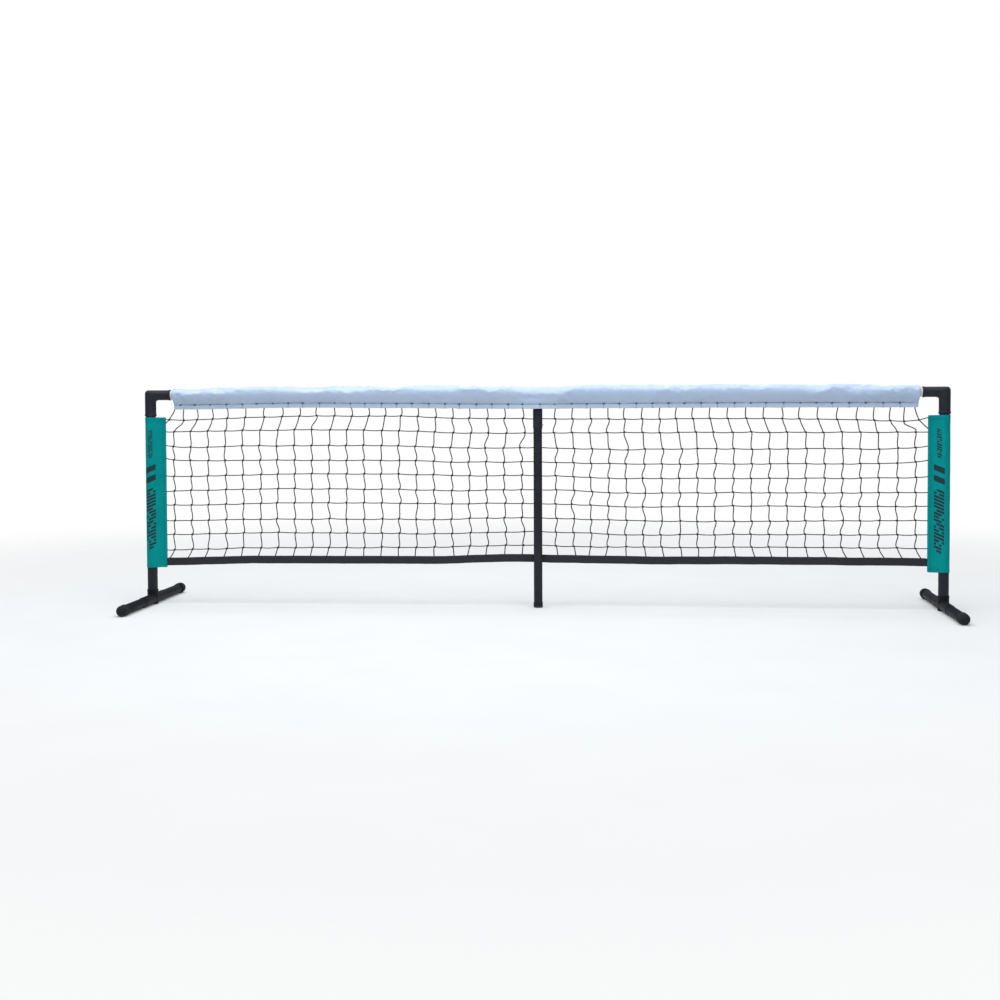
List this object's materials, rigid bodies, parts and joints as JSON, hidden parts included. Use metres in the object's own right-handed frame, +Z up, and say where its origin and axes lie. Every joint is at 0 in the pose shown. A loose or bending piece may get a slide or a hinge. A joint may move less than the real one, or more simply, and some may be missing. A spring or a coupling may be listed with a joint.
{
  "type": "portable pickleball net",
  "caption": "Low portable court net: square-mesh net with a white top band, hung between uprights on T-shaped feet, with a rail along the top and a centre support post.",
  "frame": {"origin": "on the floor, midway between the two uprights", "axes": "+X along the net, -Y towards the front, which is the side the centre post stands on, +Z up"},
  "size_m": [3.1774, 0.763, 0.874],
  "materials": {
    "black_steel": "satin powder coat",
    "black_moulding": "fine-grained satin",
    "black_rubber": "matte",
    "spring_steel": "plain zinc-plated",
    "white_nylon": "satin moulded nylon",
    "white_vinyl": "coated cloth, softly glossy",
    "black_cord": "braided cord",
    "black_webbing": "woven webbing",
    "teal_cloth": "woven polyester"
  },
  "bodies": {
    "frame": {"left_upright": "black_steel", "right_upright": "black_steel", "left_elbow": "black_moulding", "right_elbow": "black_moulding", "left_outer_rail": "black_steel", "left_inner_rail": "black_steel", "right_inner_rail": "black_steel", "right_outer_rail": "black_steel", "left_rail_collar": "white_nylon", "right_rail_collar": "white_nylon", "centre_tee": "black_moulding", "centre_post": "black_steel", "centre_post_tip": "black_rubber", "left_elbow_spring": "spring_steel", "right_elbow_spring": "spring_steel", "left_rail_spring": "spring_steel", "right_rail_spring": "spring_steel", "centre_post_spring": "spring_steel", "top_band": "white_vinyl", "net": "black_cord", "bottom_tape": "black_webbing", "left_sleeve": "teal_cloth", "right_sleeve": "teal_cloth"},
    "left_foot": {"left_foot_base": "black_moulding", "left_front_foot_tube": "black_steel", "left_rear_foot_tube": "black_steel", "left_front_foot_cap": "black_rubber", "left_rear_foot_cap": "black_rubber"},
    "right_foot": {"right_foot_base": "black_moulding", "right_front_foot_tube": "black_steel", "right_rear_foot_tube": "black_steel", "right_front_foot_cap": "black_rubber", "right_rear_foot_cap": "black_rubber"},
    "left_elbow_catch": {"left_elbow_button": "spring_steel"},
    "right_elbow_catch": {"right_elbow_button": "spring_steel"},
    "left_rail_catch": {"left_rail_button": "spring_steel"},
    "right_rail_catch": {"right_rail_button": "spring_steel"},
    "centre_post_catch": {"centre_post_button": "spring_steel"}
  },
  "joints": [
    {"name": "left_foot_swivel", "type": "hinge", "parent": "frame", "child": "left_foot", "pos_m": [-1.565, 0, 0.021], "axis": [0, 0, 1], "range_deg": [-90, 90]},
    {"name": "right_foot_swivel", "type": "hinge", "parent": "frame", "child": "right_foot", "pos_m": [1.565, 0, 0.021], "axis": [0, 0, 1], "range_deg": [-90, 90]},
    {"name": "left_elbow_press", "type": "slide", "parent": "frame", "child": "left_elbow_catch", "axis": [0, -1, 0], "range_m": [0, 0.0055], "stiffness_N_per_m": 1500, "springref_m": -0.002},
    {"name": "right_elbow_press", "type": "slide", "parent": "frame", "child": "right_elbow_catch", "axis": [0, -1, 0], "range_m": [0, 0.0055], "stiffness_N_per_m": 1500, "springref_m": -0.002},
    {"name": "left_rail_press", "type": "slide", "parent": "frame", "child": "left_rail_catch", "axis": [0, -1, 0], "range_m": [0, 0.0049], "stiffness_N_per_m": 1500, "springref_m": -0.002},
    {"name": "right_rail_press", "type": "slide", "parent": "frame", "child": "right_rail_catch", "axis": [0, -1, 0], "range_m": [0, 0.0049], "stiffness_N_per_m": 1500, "springref_m": -0.002},
    {"name": "centre_post_press", "type": "slide", "parent": "frame", "child": "centre_post_catch", "axis": [-1, 0, 0], "range_m": [0, 0.0047], "stiffness_N_per_m": 1500, "springref_m": -0.002}
  ]
}
